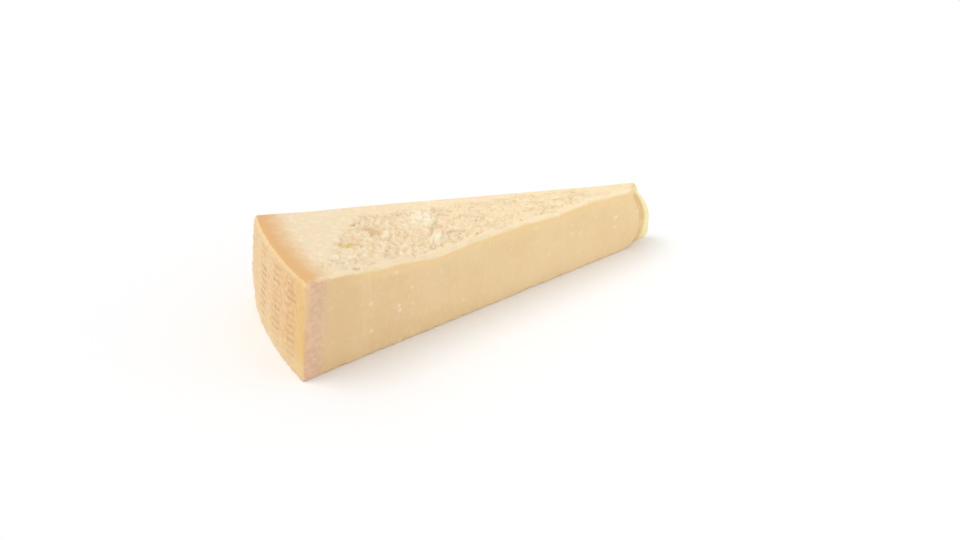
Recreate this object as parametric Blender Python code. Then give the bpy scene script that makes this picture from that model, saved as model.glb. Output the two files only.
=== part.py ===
"""A chunk of parmesan: one wedge of an eighteenth of a wheel, lying as it stood in the wheel.

The heel is the wheel's rind and is the arc at -X. The two cut faces run along radii of the
wheel and meet near its middle, where the thin tip has broken off and left a blunt nose at +X.
The underside is flat. The top is where the wheel was split open: a smooth scored margin runs
round it, and inside the margin the cheese is torn into crags, lumps and hollows.
Metres, +Z up, origin at the middle of the footprint.
"""

import bmesh
import bpy
import numpy as np

NAME = "parmesan_chunk"

# Driving sizes of the wheel and of the wedge cut from it
WHEEL_RADIUS = 0.210
HALF_ANGLE = np.radians(9.86)
HEEL_HEIGHT = 0.0474
TOP_FALL_ALONG = 0.082
TOP_FALL_ACROSS = 0.084
RIND_LEAN = 0.115
NOSE_RADIUS = 0.0152

# The rind draws in at the foot of its far corner
TUCK_DEPTH = 0.0027
TUCK_HEIGHT = 0.020

# The broken nose: upright below, bent back above, and broken off at a slant
NOSE_UPRIGHT = 0.012
NOSE_SETBACK = 0.0111
NOSE_SETBACK_RISE = 0.020
NOSE_SLANT = 0.0061
NOSE_SLANT_FADE = 0.75
NOSE_SHOULDER = 0.0028
NOSE_SHOULDER_TURN = 2.2
NOSE_FORWARD = 0.25
NOSE_CHIP = 0.0064
NOSE_CHIP_HEIGHT = 0.015
NOSE_FOOT = 0.0028

# Radii of the softened edges
TOP_EDGE = 0.0026
FOOT_EDGE = 0.0008
CORNER_EDGE = 0.0016
NOSE_EDGE = 0.0012

# How far each edge's softening reaches: up from the foot, and back from the nose
UPPER_FROM = 0.020
BROW_FROM = (0.026, 0.045)

# The near top edge: the height, middle and reach of each long wave, and the height, pace and
# start of each short ripple
WAVES = ((-0.0033, -0.136, 0.016), (-0.0015, -0.164, 0.014), (-0.0009, -0.104, 0.020),
         (-0.0009, -0.072, 0.014), (0.0008, -0.051, 0.015))
WAVES_BEGIN = (0.02, 0.14)
RIPPLES = ((0.00018, 0.0053, 0.0), (0.00014, 0.0021, 1.0))

# The near edge is worn to a slope, and the far edge dips: depth, middle and reaches
WORN_DEPTH = 0.0012
WORN_MIDDLE = -0.135
WORN_REACH = (0.045, 0.0022)
DIP_DEPTH = 0.0005
DIP_MIDDLE = (-0.176, 0.031)
DIP_REACH = (0.013, 0.010)

# Grid of the solid: steps along, across and up, and how many of them each edge takes
STEPS = (104, 28, 8)
EDGE_STEPS = 2
EDGE_BAND = 0.0022
SHARP_ANGLE = np.radians(35.0)

# Turns of working out height and distance from each other, and how flat the underside is
PASSES = 4
FLAT_WITHIN = 1e-7

# The paste's colour, red, green, blue and opacity, and how dull it is
PASTE = (0.86, 0.66, 0.38, 1.0)
PASTE_ROUGHNESS = 0.55

# The torn zone of the top, measured from the wheel's axis and from the two cut faces, with how
# far each of its borders fades, and the ripples of its margins
TORN_START = 0.1758
TORN_SKEW = 0.80
TORN_MIDDLE = -0.0033
TORN_FIRST = 0.1925
TORN_END = 0.049
START_FADE = (0.003, 0.004)
END_FADE = (0.006, 0.010)
FRONT_MARGIN = 0.0024
FRONT_MARGIN_EXTRA = 0.0010
FRONT_MARGIN_WIDE = (-0.137, 0.009)
FRONT_FADE = (0.0010, 0.0014)
BACK_MARGIN = 0.0042
BACK_MARGIN_EXTRA = 0.0066
BACK_MARGIN_FROM = (0.060, 0.150)
BACK_FADE = 0.002
HEEL_CORNER_EXTRA = 0.0024
HEEL_CORNER_FROM = (0.178, 0.195)
MARGIN_RIPPLES = ((0.0009, 0.0041, 0.0), (0.0007, 0.0023, 2.0))
QUIET_SHARE = 0.10
TAIL_SHARE = 0.22

# Marks of the top: middle, turn of its length from +X in degrees, length and width, height;
# then how much of them is read at the middle of a lump, and how much at the spot itself
HOLLOW = ((-0.1585, 0.0010), -53.0, (0.0058, 0.0029), -0.0013)
NOTCH = ((-0.1727, -0.0075), -5.0, (0.0036, 0.0018), -0.0010)
PIT = ((-0.1573, -0.0217), 67.0, (0.0034, 0.0018), -0.0009)
LARGE_LUMP = ((-0.1329, 0.0029), 67.0, (0.0060, 0.0048), 0.0007)
SMALL_LUMP = ((-0.1323, -0.0118), 67.0, (0.0032, 0.0026), 0.0010)
MARKS = (HOLLOW, NOTCH, PIT, LARGE_LUMP, SMALL_LUMP)
FEATURE_SHARES = (0.7, 0.3)

# The split across the top: a spot on it, the way it faces, the rise and drop beside it, its
# ripples, and how much of it is read at the middle of a lump and at the spot itself
LEDGE_SPOT = (-0.1303, -0.0013)
LEDGE_TURN = np.radians(-22.65)
LEDGE_RISE = 0.0007
LEDGE_RISE_REACH = 0.008
LEDGE_DROP = 0.0006
LEDGE_DROP_REACH = 0.006
LEDGE_RIPPLES = ((0.0006, 0.0019, 0.0), (0.0004, 0.0008, 1.0))
LEDGE_SHARES = (0.45, 0.55)

# Sizes of the torn relief: width of a crag, its step up or down, and its tilt
CRAG = (0.0105, 0.00032, 0.060)
LUMP = (0.0046, 0.00034, 0.150)
LUMP_DOME = 0.00060
LUMP_STRETCH = (1.25, 0.15, 0.85)
FAR_SHARE = 0.78
FAR_FROM = (0.105, 0.140)
RIDGE_PITCH = 0.0034
RIDGE_HEIGHT = 0.00042
RIDGE_MIDDLE = -0.150
RIDGE_REACH = 0.016
RIDGE_BENDS = ((0.0012, 0.0043), (0.0009, 0.0021))
RIDGE_DRIFT = 0.008
RIDGE_BEND = 1.5
RIDGE_SHEAR = 0.12

# Random draws: the seed, the size of a table of draws, and how near its square's edge a
# centre may lie
SEED = 31
TABLE = 64
CENTRE_RANGE = (0.12, 0.88)


def clear_scene():
    """Remove every object, so that the script starts from nothing."""
    for item in list(bpy.data.objects):
        bpy.data.objects.remove(item, do_unlink=True)


def smooth_step(value, low, high):
    """0 below low, 1 above high, and an S-curve between them."""
    share = np.clip((value - low) / (high - low), 0.0, 1.0)
    return share * share * (3.0 - 2.0 * share)


def bell(place, middle, reach):
    """1 at the middle, a third at the reach on either side of it, and nearly 0 at twice that."""
    return np.exp(-(((place - middle) / reach) ** 2))


def wavy(place, waves):
    """Sum of sines along a line, each of its own height, pace and start."""
    return sum(height * np.sin(place / pace + start) for height, pace, start in waves)


def spread(line, steps, length, band):
    """Distance along length of a grid line: the first and last lines stand close, in the bands."""
    last = steps - EDGE_STEPS
    middle = band + (length - 2.0 * band) * (line - EDGE_STEPS) / (last - EDGE_STEPS)
    start = band * line / EDGE_STEPS
    end = length - band * (steps - line) / EDGE_STEPS
    return np.where(line < EDGE_STEPS, start, np.where(line > last, end, middle))


def heel_radius(side, z):
    """Radius of the rind: it leans in towards the top, and is tucked in at its far foot."""
    foot = np.clip(1.0 - z / TUCK_HEIGHT, 0.0, 1.0)
    tuck = TUCK_DEPTH * foot**2 * np.clip(side, 0.0, 1.0) ** 3
    return WHEEL_RADIUS - RIND_LEAN * z - tuck


def nose_radius(side, z):
    """Distance of the broken nose from the axis: a slanted end, bent back towards the top.

    Its far shoulder is drawn back below and stands forward at the top.
    """
    rise = np.clip((z - NOSE_UPRIGHT) / NOSE_SETBACK_RISE, 0.0, 1.2)
    setback = NOSE_SETBACK * rise**1.7
    near = np.clip((NOSE_FORWARD - side) / (1.0 + NOSE_FORWARD), 0.0, 1.0)
    far = np.clip((side - NOSE_FORWARD) / (1.0 - NOSE_FORWARD), 0.0, 1.0)
    slant = NOSE_SLANT * (1.0 - NOSE_SLANT_FADE * rise**1.5) * near**1.2
    shoulder = NOSE_SHOULDER * far**2 * (1.0 - NOSE_SHOULDER_TURN * rise**2)
    low = np.clip(1.0 - z / NOSE_CHIP_HEIGHT, 0.0, 1.0)
    chip = NOSE_CHIP * low**2 * np.clip(-side, 0.0, 1.0)
    foot = NOSE_FOOT * np.clip(1.0 - z / NOSE_FOOT, 0.0, 1.0) ** 2
    return NOSE_RADIUS + setback + slant + shoulder + chip + foot


def top_height(x, y):
    """Height of the top before it was torn: a plane that falls to the tip and to the far side.

    Its near edge sags and swells in long waves and is worn to a slope in the middle, and its
    far edge dips a little beside the heel.
    """
    plane = HEEL_HEIGHT - TOP_FALL_ALONG * (x + WHEEL_RADIUS) - TOP_FALL_ACROSS * y
    near = smooth_step(-y / np.maximum(-x, 0.01), *WAVES_BEGIN)
    waves = sum(height * bell(x, middle, reach) for height, middle, reach in WAVES)
    ripple = wavy(x, RIPPLES)
    front_gap = y * np.cos(HALF_ANGLE) - x * np.sin(HALF_ANGLE)
    worn = bell(x, WORN_MIDDLE, WORN_REACH[0]) * bell(front_gap, 0.0, WORN_REACH[1])
    dip = bell(x, DIP_MIDDLE[0], DIP_REACH[0]) * bell(y, DIP_MIDDLE[1], DIP_REACH[1])
    return plane + near * (waves + ripple) - WORN_DEPTH * worn - DIP_DEPTH * dip


def split_cells(x, y, cell, step, tilt, dome, seed):
    """Height of a split face, and the middle of the cell that each point belongs to.

    A point belongs to the nearest of some scattered centres, one in each square of a grid.
    Each centre's cell has its own step up or down, its own tilt, and a domed back.
    """
    draw = np.random.default_rng(seed)
    centre = draw.uniform(*CENTRE_RANGE, (2, TABLE, TABLE))
    random = draw.uniform(-1.0, 1.0, (3, TABLE, TABLE))
    column = np.floor(x / cell).astype(int)
    row = np.floor(y / cell).astype(int)
    nearest = np.full(x.shape, np.inf)
    height = np.zeros(x.shape)
    middle_x = np.zeros(x.shape)
    middle_y = np.zeros(x.shape)
    for ahead in (-1, 0, 1):
        for beside in (-1, 0, 1):
            i = (column + ahead) % TABLE
            j = (row + beside) % TABLE
            dx = x / cell - (column + ahead + centre[0, i, j])
            dy = y / cell - (row + beside + centre[1, i, j])
            gap = dx * dx + dy * dy
            slope = random[1, i, j] * dx + random[2, i, j] * dy
            own = step * random[0, i, j] + tilt * cell * slope - dome * gap
            closer = gap < nearest
            height = np.where(closer, own, height)
            middle_x = np.where(closer, x - cell * dx, middle_x)
            middle_y = np.where(closer, y - cell * dy, middle_y)
            nearest = np.minimum(gap, nearest)
    return height, middle_x, middle_y


def mound(x, y, at, turn, reach, height):
    """A soft bump or hollow, the product of two bells, its length turned from +X in degrees."""
    cosine, sine = np.cos(np.radians(turn)), np.sin(np.radians(turn))
    along = (x - at[0]) * cosine + (y - at[1]) * sine
    across = (y - at[1]) * cosine - (x - at[0]) * sine
    return height * bell(along, 0.0, reach[0]) * bell(across, 0.0, reach[1])


def ledge(x, y):
    """One split that runs across the chunk: its heel side stands up, its tip side is torn low."""
    ahead = (x - LEDGE_SPOT[0]) * np.cos(LEDGE_TURN) + (y - LEDGE_SPOT[1]) * np.sin(LEDGE_TURN)
    ahead += wavy(y, LEDGE_RIPPLES)
    raised = LEDGE_RISE * np.exp(np.minimum(ahead, 0.0) / LEDGE_RISE_REACH)
    fallen = -LEDGE_DROP * np.exp(-np.maximum(ahead, 0.0) / LEDGE_DROP_REACH)
    return np.where(ahead < 0.0, raised, fallen)


def features(x, y):
    """The marks that this chunk has: three hollows and two large lumps."""
    return sum(mound(x, y, *mark) for mark in MARKS)


def torn_share(x, y):
    """How torn the top is: 1 among the crags, nearly 0 in the scored margins and by the heel."""
    front_gap = y * np.cos(HALF_ANGLE) - x * np.sin(HALF_ANGLE)
    back_gap = -y * np.cos(HALF_ANGLE) - x * np.sin(HALF_ANGLE)
    uneven = wavy(x, MARGIN_RIPPLES)
    narrow = front_gap + uneven - FRONT_MARGIN_EXTRA * bell(x, *FRONT_MARGIN_WIDE)
    narrow -= HEEL_CORNER_EXTRA * smooth_step(-x, *HEEL_CORNER_FROM)
    front = smooth_step(narrow, FRONT_MARGIN - FRONT_FADE[0], FRONT_MARGIN + FRONT_FADE[1])
    margin = BACK_MARGIN + BACK_MARGIN_EXTRA * smooth_step(-x, *BACK_MARGIN_FROM)
    back = smooth_step(back_gap - uneven, margin - BACK_FADE, margin + BACK_FADE)
    start = np.minimum(TORN_START - TORN_SKEW * (y - TORN_MIDDLE), TORN_FIRST)
    begun = 1.0 - smooth_step(-x, start - START_FADE[0] + uneven, start + START_FADE[1] + uneven)
    ended = smooth_step(-x, TORN_END - END_FADE[0], TORN_END + END_FADE[1])
    inside = begun * (TAIL_SHARE + (1.0 - TAIL_SHARE) * ended)
    return front * back * (QUIET_SHARE + (1.0 - QUIET_SHARE) * inside)


def torn_height(x, y):
    """Relief of the torn top: crags and lumps, ridges across the chunk, and its own features.

    The lumps lie across the chunk, because their plane is stretched and sheared, and they are
    lower towards the nose. The hollows and mounds are read mostly at the middle of each lump,
    so that they break off along lumps.
    """
    long_bend, short_bend = RIDGE_BENDS
    bend = wavy(y, ((*long_bend, 0.0), (*short_bend, x / RIDGE_DRIFT)))
    crags, _, _ = split_cells(x, y, *CRAG, 0.0, SEED)
    wide, sheared, narrow = LUMP_STRETCH
    u, v = wide * (x + bend) + sheared * y, narrow * y
    lumps, lump_u, lump_v = split_cells(u, v, *LUMP, LUMP_DOME, SEED + 1)
    lump_y = lump_v / narrow
    lump_x = (lump_u - sheared * lump_y) / wide - bend
    large = FAR_SHARE + (1.0 - FAR_SHARE) * smooth_step(-x, *FAR_FROM)
    ridged = bell(x, RIDGE_MIDDLE, RIDGE_REACH)
    wave = 1.0 - np.abs(np.sin((x + RIDGE_BEND * bend + RIDGE_SHEAR * y) * np.pi / RIDGE_PITCH))
    ridges = RIDGE_HEIGHT * ridged * (2.0 * wave - 1.0)
    lumpy, smooth = FEATURE_SHARES
    broken = lumpy * features(lump_x, lump_y) + smooth * features(x, y)
    lumpy, smooth = LEDGE_SHARES
    split = lumpy * ledge(lump_x, lump_y) + smooth * ledge(x, y)
    relief = large * (crags + lumps) + ridges + split + broken
    return torn_share(x, y) * relief


def rounded(gaps, radii):
    """New gaps to the faces, so that the edges between them are round.

    Within a radius of a face its pull is 1 at the face and 0 at the radius. Where pulls meet,
    the point is drawn in until the pulls together are 1, which is a quarter circle or a ball.
    """
    pulls = [np.clip(1.0 - gap / radius, 0.0, 1.0) for gap, radius in zip(gaps, radii)]
    total = np.maximum(np.sqrt(sum(pull * pull for pull in pulls)), 1.0)
    return [np.where(pull > 0.0, radius * (1.0 - pull / total), gap)
            for gap, radius, pull in zip(gaps, radii, pulls)]


def wedge_points(along, across, up):
    """Corners of the gridded box, as shares from 0 to 1, moved to their places in the wedge.

    A point is given by its distance from the wheel's axis, its angle from the middle radius,
    and its height. Height and distance depend on each other, so they are worked out in turns.
    """
    side = 2.0 * across - 1.0
    z = up * HEEL_HEIGHT
    for _ in range(PASSES):
        heel = heel_radius(side, z)
        nose = nose_radius(side, z)
        radius = heel - spread(along * STEPS[0], STEPS[0], heel - nose, EDGE_BAND)
        half = radius * HALF_ANGLE
        band = np.minimum(EDGE_BAND, 0.5 * half)
        reach = spread(across * STEPS[1], STEPS[1], 2.0 * half, band) - half
        x = -radius * np.cos(reach / radius)
        y = radius * np.sin(reach / radius)
        top = top_height(x, y)
        z = spread(up * STEPS[2], STEPS[2], top, EDGE_BAND)

    upper = smooth_step(z, 0.0, UPPER_FROM)
    soft = np.minimum(FOOT_EDGE + (TOP_EDGE - FOOT_EDGE) * upper, 0.4 * half)
    corner = FOOT_EDGE + (CORNER_EDGE - FOOT_EDGE) * upper
    brow = NOSE_EDGE + (TOP_EDGE - NOSE_EDGE) * smooth_step(radius, *BROW_FROM)
    gaps = (half - np.abs(reach), heel - radius, radius - nose, top - z, z)
    radii = (soft, corner, NOSE_EDGE, brow, FOOT_EDGE)
    beside, behind, before, above, below = rounded(gaps, radii)
    radius = np.where(gaps[1] < corner, heel - behind, radius)
    radius = np.where(gaps[2] < NOSE_EDGE, nose + before, radius)
    reach = np.sign(reach) * (half - beside)
    z = np.where(up > 0.5, top - above, below)
    x = -radius * np.cos(reach / radius)
    y = radius * np.sin(reach / radius)
    return x, y, z + np.where(up == 1.0, torn_height(x, y), 0.0)


def gridded_cube(mesh):
    """A unit cube cut into the grid's steps along each axis."""
    bmesh.ops.create_cube(mesh, size=1.0)
    for axis, steps in enumerate(STEPS):
        edges = []
        for edge in mesh.edges:
            ends = edge.verts[0].co - edge.verts[1].co
            if abs(ends[axis]) > 0.5:
                edges.append(edge)
        bmesh.ops.subdivide_edges(mesh, edges=edges, cuts=steps - 1, use_grid_fill=True)


def cheese_material():
    """Pale straw-yellow paste, dull and a little waxy."""
    material = bpy.data.materials.new("parmesan_paste")
    material.use_nodes = True
    shader = material.node_tree.nodes["Principled BSDF"]
    shader.inputs["Base Color"].default_value = PASTE
    shader.inputs["Roughness"].default_value = PASTE_ROUGHNESS
    shader.inputs["Metallic"].default_value = 0.0
    return material


def build_chunk(collection):
    """The chunk: a gridded cube bent to the wedge, with one face for its flat underside."""
    mesh = bmesh.new()
    gridded_cube(mesh)
    corners = np.array([vertex.co[:] for vertex in mesh.verts]) + 0.5
    corners = np.round(corners * STEPS) / STEPS
    x, y, z = wedge_points(corners[:, 0], corners[:, 1], corners[:, 2])
    x -= 0.5 * (x.min() + x.max())
    y -= 0.5 * (y.min() + y.max())
    for vertex, place in zip(mesh.verts, zip(x, y, z)):
        vertex.co = place

    flat = [face for face in mesh.faces if all(abs(v.co.z) < FLAT_WITHIN for v in face.verts)]
    bmesh.ops.dissolve_faces(mesh, faces=flat, use_verts=True)
    bmesh.ops.recalc_face_normals(mesh, faces=mesh.faces)

    data = bpy.data.meshes.new(NAME)
    mesh.to_mesh(data)
    mesh.free()
    data.shade_smooth()
    data.set_sharp_from_angle(angle=SHARP_ANGLE)
    data.materials.append(cheese_material())
    chunk = bpy.data.objects.new(NAME, data)
    collection.objects.link(chunk)
    return chunk


def main():
    """Build the chunk in its own collection."""
    clear_scene()
    collection = bpy.data.collections.new("parmesan")
    bpy.context.scene.collection.children.link(collection)
    build_chunk(collection)


main()
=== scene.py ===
import math

import bpy
import numpy as np
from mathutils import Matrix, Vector


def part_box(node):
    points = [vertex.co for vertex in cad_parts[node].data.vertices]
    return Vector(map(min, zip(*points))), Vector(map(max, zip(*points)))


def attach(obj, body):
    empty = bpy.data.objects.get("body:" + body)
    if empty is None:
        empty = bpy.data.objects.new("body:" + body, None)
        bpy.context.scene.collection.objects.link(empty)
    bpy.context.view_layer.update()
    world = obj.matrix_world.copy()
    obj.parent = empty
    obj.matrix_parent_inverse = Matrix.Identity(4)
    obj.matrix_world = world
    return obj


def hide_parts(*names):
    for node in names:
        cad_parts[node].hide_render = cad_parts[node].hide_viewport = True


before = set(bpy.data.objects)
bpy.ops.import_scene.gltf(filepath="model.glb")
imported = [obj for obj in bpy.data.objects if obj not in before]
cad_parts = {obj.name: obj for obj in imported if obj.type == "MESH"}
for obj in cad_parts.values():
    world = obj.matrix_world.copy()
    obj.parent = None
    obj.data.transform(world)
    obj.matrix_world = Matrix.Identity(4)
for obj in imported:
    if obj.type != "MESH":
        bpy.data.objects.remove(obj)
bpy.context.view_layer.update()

bl_info = {
    "name": "Parmesan chunk",
    "version": (1, 0, 0),
    "blender": (4, 5, 0),
    "location": "View3D > Sidebar > Cheese",
    "description": "A wedge of parmesan with its rind, torn top and crumbs, on a pale stage",
    "category": "Add Mesh",
}

NODE = "parmesan_chunk"
BODY = "root"
MILLIMETRE = 0.001

# The sizes below repeat the solid's, in metres, because the fine surface has its form
TUCK_DEPTH = 0.0027
TUCK_HEIGHT = 0.020
NOSE_UPRIGHT = 0.012
NOSE_SETBACK = 0.0111
NOSE_SETBACK_RISE = 0.020
NOSE_SLANT = 0.0061
NOSE_SLANT_FADE = 0.75
NOSE_SHOULDER = 0.0028
NOSE_SHOULDER_TURN = 2.2
NOSE_FORWARD = 0.25
NOSE_CHIP = 0.0064
NOSE_CHIP_HEIGHT = 0.015
NOSE_FOOT = 0.0028
TOP_EDGE = 0.0026
FOOT_EDGE = 0.0008
CORNER_EDGE = 0.0016
NOSE_EDGE = 0.0012
EDGE_BAND = 0.0022
UPPER_FROM = 0.020
BROW_FROM = (0.026, 0.045)

# The near top edge: the height, middle and reach of each long wave, and the height, pace and
# start of each short ripple
WAVES = ((-0.0033, -0.136, 0.016), (-0.0015, -0.164, 0.014), (-0.0009, -0.104, 0.020),
         (-0.0009, -0.072, 0.014), (0.0008, -0.051, 0.015))
WAVES_BEGIN = (0.02, 0.14)
RIPPLES = ((0.00018, 0.0053, 0.0), (0.00014, 0.0021, 1.0))

# The near edge is worn to a slope, and the far edge dips: depth, middle and reaches
WORN_DEPTH = 0.0012
WORN_MIDDLE = -0.135
WORN_REACH = (0.045, 0.0022)
DIP_DEPTH = 0.0005
DIP_MIDDLE = (-0.176, 0.031)
DIP_REACH = (0.013, 0.010)

# The torn zone of the top, measured from the wheel's axis and from the two cut faces, with how
# far each of its borders fades, and the ripples of its margins
TORN_START = 0.1758
TORN_SKEW = 0.80
TORN_MIDDLE = -0.0033
TORN_FIRST = 0.1925
TORN_END = 0.049
START_FADE = (0.003, 0.004)
END_FADE = (0.006, 0.010)
FRONT_MARGIN = 0.0024
FRONT_MARGIN_EXTRA = 0.0010
FRONT_MARGIN_WIDE = (-0.137, 0.009)
FRONT_FADE = (0.0010, 0.0014)
BACK_MARGIN = 0.0042
BACK_MARGIN_EXTRA = 0.0066
BACK_MARGIN_FROM = (0.060, 0.150)
BACK_FADE = 0.002
HEEL_CORNER_EXTRA = 0.0024
HEEL_CORNER_FROM = (0.178, 0.195)
MARGIN_RIPPLES = ((0.0009, 0.0041, 0.0), (0.0007, 0.0023, 2.0))
QUIET_SHARE = 0.10
TAIL_SHARE = 0.22

# Marks of the top: middle, turn of its length from +X in degrees, length and width, height;
# then how much of them is read at the middle of a lump, and how much at the spot itself
HOLLOW = ((-0.1585, 0.0010), -53.0, (0.0058, 0.0029), -0.0013)
NOTCH = ((-0.1727, -0.0075), -5.0, (0.0036, 0.0018), -0.0010)
PIT = ((-0.1573, -0.0217), 67.0, (0.0034, 0.0018), -0.0009)
LARGE_LUMP = ((-0.1329, 0.0029), 67.0, (0.0060, 0.0048), 0.0007)
SMALL_LUMP = ((-0.1323, -0.0118), 67.0, (0.0032, 0.0026), 0.0010)
MARKS = (HOLLOW, NOTCH, PIT, LARGE_LUMP, SMALL_LUMP)
FEATURE_SHARES = (0.7, 0.3)

# Tints of the top, of full strength in the middle: laid out as the marks are; some of them are
# painted light
BROWN_HOLLOW = ((-0.1585, 0.0010), -53.0, (0.0058, 0.0032), 1.0)
PALE_RIM = ((-0.1535, -0.0030), 45.0, (0.0040, 0.0016), 1.0)
OLIVE_STAIN = ((-0.1727, -0.0075), -5.0, (0.0048, 0.0017), 1.0)
OLIVE_CRACK = ((-0.1677, 0.0035), 67.0, (0.0036, 0.0013), 0.6)
# Painted shade in the pit
PIT_SHADE = ((-0.1573, -0.0217), 67.0, (0.0034, 0.0018), 1.0)
# Painted shadow beside the ledge, where the top drops beyond it
LEDGE_SHADOW = ((-0.1296, -0.0042), 67.0, (0.0030, 0.0016), 0.5)
# Painted highlight on the raised lumps
PALE_LUMP = ((-0.1329, 0.0029), 67.0, (0.0060, 0.0045), 1.0)
SMALL_PALE_LUMP = ((-0.1323, -0.0118), 67.0, (0.0034, 0.0026), 1.0)

# The split across the top: a spot on it, the way it faces, the rise and drop beside it, its
# ripples, and how much of it is read at the middle of a lump and at the spot itself
LEDGE_SPOT = (-0.1303, -0.0013)
LEDGE_TURN = math.radians(-22.65)
LEDGE_RISE = 0.0007
LEDGE_RISE_REACH = 0.008
LEDGE_DROP = 0.0006
LEDGE_DROP_REACH = 0.006
LEDGE_RIPPLES = ((0.0006, 0.0019, 0.0), (0.0004, 0.0008, 1.0))
LEDGE_SHARES = (0.45, 0.55)

# The torn relief beside what the settings give
LUMP_DOME = 0.00060
LUMP_STRETCH = (1.25, 0.15, 0.85)
FAR_SHARE = 0.78
FAR_FROM = (0.105, 0.140)
RIDGE_PITCH = 0.0034
RIDGE_HEIGHT = 0.00042
RIDGE_MIDDLE = -0.150
RIDGE_REACH = 0.016
RIDGE_BENDS = ((0.0012, 0.0043), (0.0009, 0.0021))
RIDGE_DRIFT = 0.008
RIDGE_BEND = 1.5
RIDGE_SHEAR = 0.12

# Random draws: the seed, the size of a table of draws, and how near its square's edge a
# centre may lie
SEED = 31
TABLE = 64
CENTRE_RANGE = (0.12, 0.88)

# Fine grid: steps along, across and up; lines that each edge takes; rows that the sides keep
STEPS = np.array((364, 132, 84))
EDGE_STEPS = 4
SIDE_ROW = 4

# Turns of working out height and distance from each other
PASSES = 4

# The finest relief, which only the fine surface has: width of a grain, its step and its tilt
GRAIN_LARGE = (0.0024, 0.00026, 0.20)
GRAIN_SMALL = (0.0012, 0.00014, 0.20)
GRAIN_DOMES = (0.00030, 0.00012)
GRAIN_STRETCH = (1.35, 0.20, 0.75)
GRAIN_EVERYWHERE = 0.12

# Small damage along the edges: depth of the chips, and the groove beside the broken nose
FOOT_CHIP = 0.00090
HEEL_CHIP = 0.00055
CREST_CHIP = 0.00050
CHIP_PITCH = 0.0014
JAGS = 1024
NOSE_WEAR = 0.0011
GROOVE_DEPTH = 0.00030
GROOVE_PLACE = 0.0012
GROOVE_REACH = 0.0009

# Rough outside of the rind: width of a patch, its step and its tilt
RIND_PATCH = (0.0028, 0.00012, 0.10)
RIND_WEAR = 0.00025

# Pin-pricked rind: slanted rows of dots in upright columns
DOT_RADIUS = 0.0010
DOT_DEPTH = 0.00034
DOT_JITTER = 0.00035
DOT_STEP = 0.0022
DOT_ROW = 0.0034
DOT_SLANT = -0.18
DOT_FIRST = 0.0040
DOT_COLUMNS = (-0.0225, -0.0068, 0.0105)
DOT_STRENGTHS = (0.15, 1.0)
ROW_DOTS = 4
DOT_HEIGHTS = (0.004, 0.042)
DOT_FADE = 0.001
STAIN_WIDTHS = (1.2, 2.3)
STAIN_GAPS = (0.0002, 0.0015)

# Crumbs that cling to the torn top: how many, smallest and largest radius, and how far they sink
CRUMBS = 420
CRUMB_RADII = (0.00030, 0.00090)
CRUMB_SUNK = 0.35
CRUMB_SHAKE = (0.7, 1.15)
CRUMB_FROM_TORN = 0.6
CRUMB_SQUASH = 0.75

# The stage: half the floor's width, the soft light's direction and spread, and the panel of
# light beyond the nose: its place, the spot that it faces, and its width and height
FLOOR_HALF = 3.0
KEY_DIRECTION = (0.45, -0.25, -1.0)
KEY_SPREAD = math.radians(35.0)
PANEL_PLACE = (0.36, -0.20, 0.16)
PANEL_AIM = (0.06, 0.0, 0.02)
PANEL_SIZE = (0.30, 0.20)
SENSOR_WIDTH = 36.0


class ChunkSizes(bpy.types.PropertyGroup):
    """Driving sizes of the wheel, of the wedge and of its torn top."""

    wheel_radius: bpy.props.FloatProperty(
        name="Wheel radius", description="Radius of the wheel at the underside",
        default=0.210, unit="LENGTH")
    half_angle: bpy.props.FloatProperty(
        name="Half angle", description="Half of the wedge's angle at the wheel's axis",
        default=math.radians(9.86), subtype="ANGLE")
    heel_height: bpy.props.FloatProperty(
        name="Heel height", description="Height of the top over the middle of the heel",
        default=0.0474, unit="LENGTH")
    fall_along: bpy.props.FloatProperty(
        name="Fall along", description="Drop of the top for each metre towards the nose",
        default=0.082)
    fall_across: bpy.props.FloatProperty(
        name="Fall across", description="Drop of the top for each metre towards the far side",
        default=0.084)
    rind_lean: bpy.props.FloatProperty(
        name="Rind lean", description="How far the rind leans in for each metre of height",
        default=0.115)
    nose_radius: bpy.props.FloatProperty(
        name="Nose radius", description="Distance of the broken nose from the wheel's axis",
        default=0.0152, unit="LENGTH")
    crag_width: bpy.props.FloatProperty(
        name="Crag width", description="Width of the largest crags",
        default=0.0105, unit="LENGTH")
    crag_step: bpy.props.FloatProperty(
        name="Crag step", description="Step up or down between the largest crags",
        default=0.00032, unit="LENGTH")
    crag_tilt: bpy.props.FloatProperty(
        name="Crag tilt", description="Slope of the largest crags",
        default=0.060)
    lump_width: bpy.props.FloatProperty(
        name="Lump width", description="Width of the lumps on the crags",
        default=0.0046, unit="LENGTH")
    lump_step: bpy.props.FloatProperty(
        name="Lump step", description="Step up or down between the lumps",
        default=0.00034, unit="LENGTH")
    lump_tilt: bpy.props.FloatProperty(
        name="Lump tilt", description="Slope of the lumps",
        default=0.150)


def colour(name, description, value):
    """A colour property with a picker."""
    return bpy.props.FloatVectorProperty(
        name=name, description=description, default=value, subtype="COLOR",
        size=3, min=0.0, max=1.0)


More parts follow.
